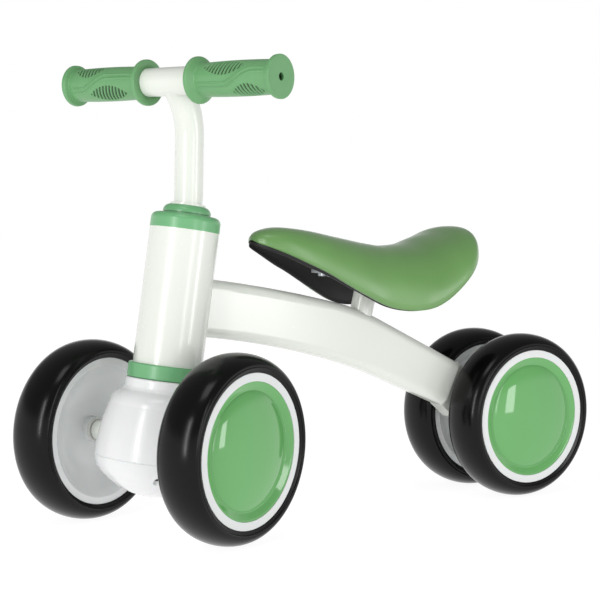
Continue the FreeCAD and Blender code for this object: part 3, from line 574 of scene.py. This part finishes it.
def catmull(values, position):
    """A smooth curve through equally weighted tuples at a position measured in intervals."""
    index = min(int(position), len(values) - 2)
    t = position - index
    window = [values[max(0, min(len(values) - 1, index + shift))] for shift in (-1, 0, 1, 2)]
    blended = []
    for a, b, c, d in zip(*window):
        blended.append(0.5 * (2 * b + (c - a) * t + (2 * a - 5 * b + 4 * c - d) * t * t
                              + (3 * b - a - 3 * c + d) * t ** 3))
    return tuple(blended)


def crescent_mesh(name, outside, inside, slack=0.0, hang=None):
    """A closed mesh between two arches; hang(along) is how far it drops below the cover's rim."""
    shape = bmesh.new()
    rings = []
    for step in range(COVER_LENGTHS + 1):
        station = catmull(SADDLE_STATIONS, step * (len(SADDLE_STATIONS) - 1) / COVER_LENGTHS)
        outer = saddle_section(station, outside[0], outside[1], slack)
        inner = saddle_section(station, inside[0], inside[1], 0.0)
        drop = Vector((0, 0, hang(station[0]) if hang else 0))
        rings.append([shape.verts.new((point - drop) * MM) for point in outer + inner[::-1]])
    for first, second in zip(rings, rings[1:]):
        for index in range(len(first)):
            beside = (index + 1) % len(first)
            shape.faces.new((first[index], first[beside], second[beside], second[index]))
    for ring in (rings[0], rings[-1]):
        for index in range(COVER_ACROSS - 1):
            shape.faces.new((ring[index], ring[index + 1], ring[-2 - index], ring[-1 - index]))
    bmesh.ops.recalc_face_normals(shape, faces=shape.faces)
    mesh = bpy.data.meshes.new(name)
    shape.to_mesh(mesh)
    shape.free()
    return mesh


def stretched(cover):
    """The foam pressing its cover out: cloth held where it is glued, no point past the limit."""
    ring = 2 * COVER_ACROSS
    held = [v.index for v in cover.data.vertices
            if v.index % ring >= COVER_ACROSS or v.index % ring in (0, COVER_ACROSS - 1)]
    cover.vertex_groups.new(name="glued").add(held, 1.0, "REPLACE")
    cloth = cover.modifiers.new("cover_cloth", "CLOTH")
    cloth.settings.vertex_group_mass = "glued"
    cloth.settings.use_pressure = True
    cloth.settings.uniform_pressure_force = CLOTH_PRESSURE
    cloth.settings.effector_weights.gravity = 0.0
    cloth.point_cache.frame_start = 1
    cloth.point_cache.frame_end = CLOTH_FRAMES
    for number in range(1, CLOTH_FRAMES + 1):
        bpy.context.scene.frame_set(number)
    pressed = cover.evaluated_get(bpy.context.evaluated_depsgraph_get()).data
    moved = [v.co.copy() for v in pressed.vertices]
    cover.modifiers.remove(cloth)
    bpy.context.scene.frame_set(1)
    for vertex, new in zip(cover.data.vertices, moved):
        step = new - vertex.co
        if step.length > SWELL_LIMIT * MM:
            step = step.normalized() * SWELL_LIMIT * MM
        vertex.co = vertex.co + step


def leathercloth():
    """Pearly polyurethane leathercloth: sage green, a pale haze at grazing angles, fine grain."""
    made, tree, shader = finish("pearl_leathercloth_sage", IOR=1.5, Sheen_Weight=0.3,
                                Sheen_Roughness=0.35, Sheen_Tint=linear("#cfcfd2"),
                                Coat_Weight=0.5, Coat_Roughness=0.26)
    place = node(tree, "ShaderNodeTexCoord").outputs["Object"]
    cloud = node(tree, "ShaderNodeTexNoise", {
        "Vector": place, "Scale": 1 / (45 * MM), "Detail": 2.0}).outputs["Fac"]
    tint = node(tree, "ShaderNodeMix", {
        0: cloud, 6: linear("#5f8d4b"), 7: linear("#6e9c5a")}, data_type="RGBA").outputs[2]
    grain = node(tree, "ShaderNodeTexVoronoi", {
        "Vector": place, "Scale": 1 / (1.1 * MM)}).outputs["Distance"]
    gloss = node(tree, "ShaderNodeMapRange", {
        "Value": grain, "To Min": 0.34, "To Max": 0.44}).outputs["Result"]
    relief = node(tree, "ShaderNodeBump", {
        "Height": grain, "Strength": 0.25, "Distance": 0.025 * MM}).outputs["Normal"]
    tree.links.new(tint, shader.inputs["Base Color"])
    tree.links.new(gloss, shader.inputs["Roughness"])
    tree.links.new(relief, shader.inputs["Normal"])
    return made


cover = smooth_object("saddle_cover",
                      crescent_mesh("saddle_cover", COVER_OUTSIDE, SHELL_OUTSIDE, SLACK),
                      leathercloth())
stretched(cover)
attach(cover, "frame")
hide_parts("saddle_pad")


def lip(along):
    """How far the black shell shows below the cover: a lip at the nose, a hairline at the tail."""
    grown = min(1.0, max(0.0, (along - LIP_STARTS) / LIP_GROWS))
    return LIP_AT_TAIL + (LIP_AT_NOSE - LIP_AT_TAIL) * grown


shell = smooth_object("saddle_shell_moulded",
                      crescent_mesh("saddle_shell_moulded", SHELL_OUTSIDE, SHELL_INSIDE, 0.0, lip),
                      moulded_plastic("blasted_abs_black", "#040404", "#070706", 0.55))
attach(shell, "frame")
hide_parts("saddle_shell")

# ---------------------------------------------------------------------------------------------
# Studio: a plain pale floor under a plain soft surround, tall soft boxes either side of the
# camera, and the camera.
# ---------------------------------------------------------------------------------------------
FLOOR_HALF = 8.0
FLOOR_GLOW = 0.93
DOME_GLOW = 0.3
HORIZON_GLOW = 1.0
# Each soft box: place, aim, width, height (m) and its brightness beside the surround's 1.0.
SOFT_BOXES = [
    ("soft_box_left", (1.26, 0.47, 0.45), (0.13, 0.0, 0.2), 0.40, 0.9, 2.2),
    ("soft_box_left_core", (1.24, 0.46, 0.45), (0.13, 0.0, 0.2), 0.07, 0.8, 16.0),
    ("soft_box_right", (0.06, 1.2, 0.45), (0.13, 0.0, 0.2), 0.30, 0.9, 1.2),
    ("soft_box_right_core", (0.07, 1.18, 0.45), (0.13, 0.0, 0.2), 0.06, 0.8, 6.0),
    ("soft_box_strip", (-0.48, 0.987, 0.185), (0.0, 0.0, 0.185), 0.19, 0.36, 6.0),
    ("soft_box_top", (0.45, 0.35, 1.25), (0.05, 0.0, 0.2), 0.45, 0.45, 3.0),
]
# The camera: its place in metres, its angles in radians and its focal length in mm.
CAMERA_PLACE = Vector((0.7216703, 0.9891455, 0.2556469))
CAMERA_HEADING = -2.1714885
CAMERA_PITCH = 0.0649011
CAMERA_ROLL = 0.0170297
CAMERA_LENS = 87.4464


def plain_floor():
    """A pale seamless floor that glows a little, so shadows on it stay faint."""
    shape = bmesh.new()
    bmesh.ops.create_grid(shape, x_segments=1, y_segments=1, size=FLOOR_HALF)
    mesh = bpy.data.meshes.new("studio_floor")
    shape.to_mesh(mesh)
    shape.free()
    paper = finish("matt_paper_white", Base_Color=linear("#808080"), Roughness=1.0,
                   Specular_IOR_Level=0.0, Emission_Color=(1, 1, 1, 1),
                   Emission_Strength=FLOOR_GLOW)[0]
    mesh.materials.append(paper)
    floor = bpy.data.objects.new("studio_floor", mesh)
    bpy.context.scene.collection.objects.link(floor)


def surround():
    """A soft white dome, brightest round the horizon."""
    world = bpy.data.worlds.new("studio_surround")
    bpy.context.scene.world = world
    world.use_nodes = True
    tree = world.node_tree
    sky = node(tree, "ShaderNodeSeparateXYZ", {
        "Vector": node(tree, "ShaderNodeTexCoord").outputs["Generated"]}).outputs["Z"]
    glow = node(tree, "ShaderNodeMapRange", {
        "Value": sky, "From Min": 0.15, "From Max": 0.35, "To Min": HORIZON_GLOW,
        "To Max": DOME_GLOW}, interpolation_type="SMOOTHSTEP").outputs["Result"]
    background = tree.nodes["Background"]
    background.inputs["Color"].default_value = (1, 1, 1, 1)
    tree.links.new(glow, background.inputs["Strength"])


def soft_box(name, place, aim, width, height, brightness):
    """A tall light of a given brightness, which isn't seen itself."""
    light = bpy.data.lights.new(name, "AREA")
    light.shape = "RECTANGLE"
    light.size = width
    light.size_y = height
    light.energy = brightness * math.pi * width * height
    lamp = bpy.data.objects.new(name, light)
    bpy.context.scene.collection.objects.link(lamp)
    lamp.location = place
    lamp.rotation_euler = (Vector(aim) - Vector(place)).to_track_quat("-Z", "Y").to_euler()
    lamp.visible_camera = False


def studio_camera():
    """The camera, a little above the saddle and in front of the left side."""
    ahead = Vector((math.cos(CAMERA_HEADING) * math.cos(CAMERA_PITCH),
                    math.sin(CAMERA_HEADING) * math.cos(CAMERA_PITCH), -math.sin(CAMERA_PITCH)))
    level = ahead.cross(Vector((0, 0, 1))).normalized()
    above = level.cross(ahead)
    right = level * math.cos(CAMERA_ROLL) + above * math.sin(CAMERA_ROLL)
    up = above * math.cos(CAMERA_ROLL) - level * math.sin(CAMERA_ROLL)
    lens = bpy.data.cameras.new("studio_camera")
    lens.lens = CAMERA_LENS
    camera = bpy.data.objects.new("studio_camera", lens)
    bpy.context.scene.collection.objects.link(camera)
    turn = Matrix((right, up, -ahead)).transposed().to_4x4()
    camera.matrix_world = Matrix.Translation(CAMERA_PLACE) @ turn
    bpy.context.scene.camera = camera


plain_floor()
surround()
for box in SOFT_BOXES:
    soft_box(*box)
studio_camera()
bpy.context.scene.view_settings.view_transform = "Standard"
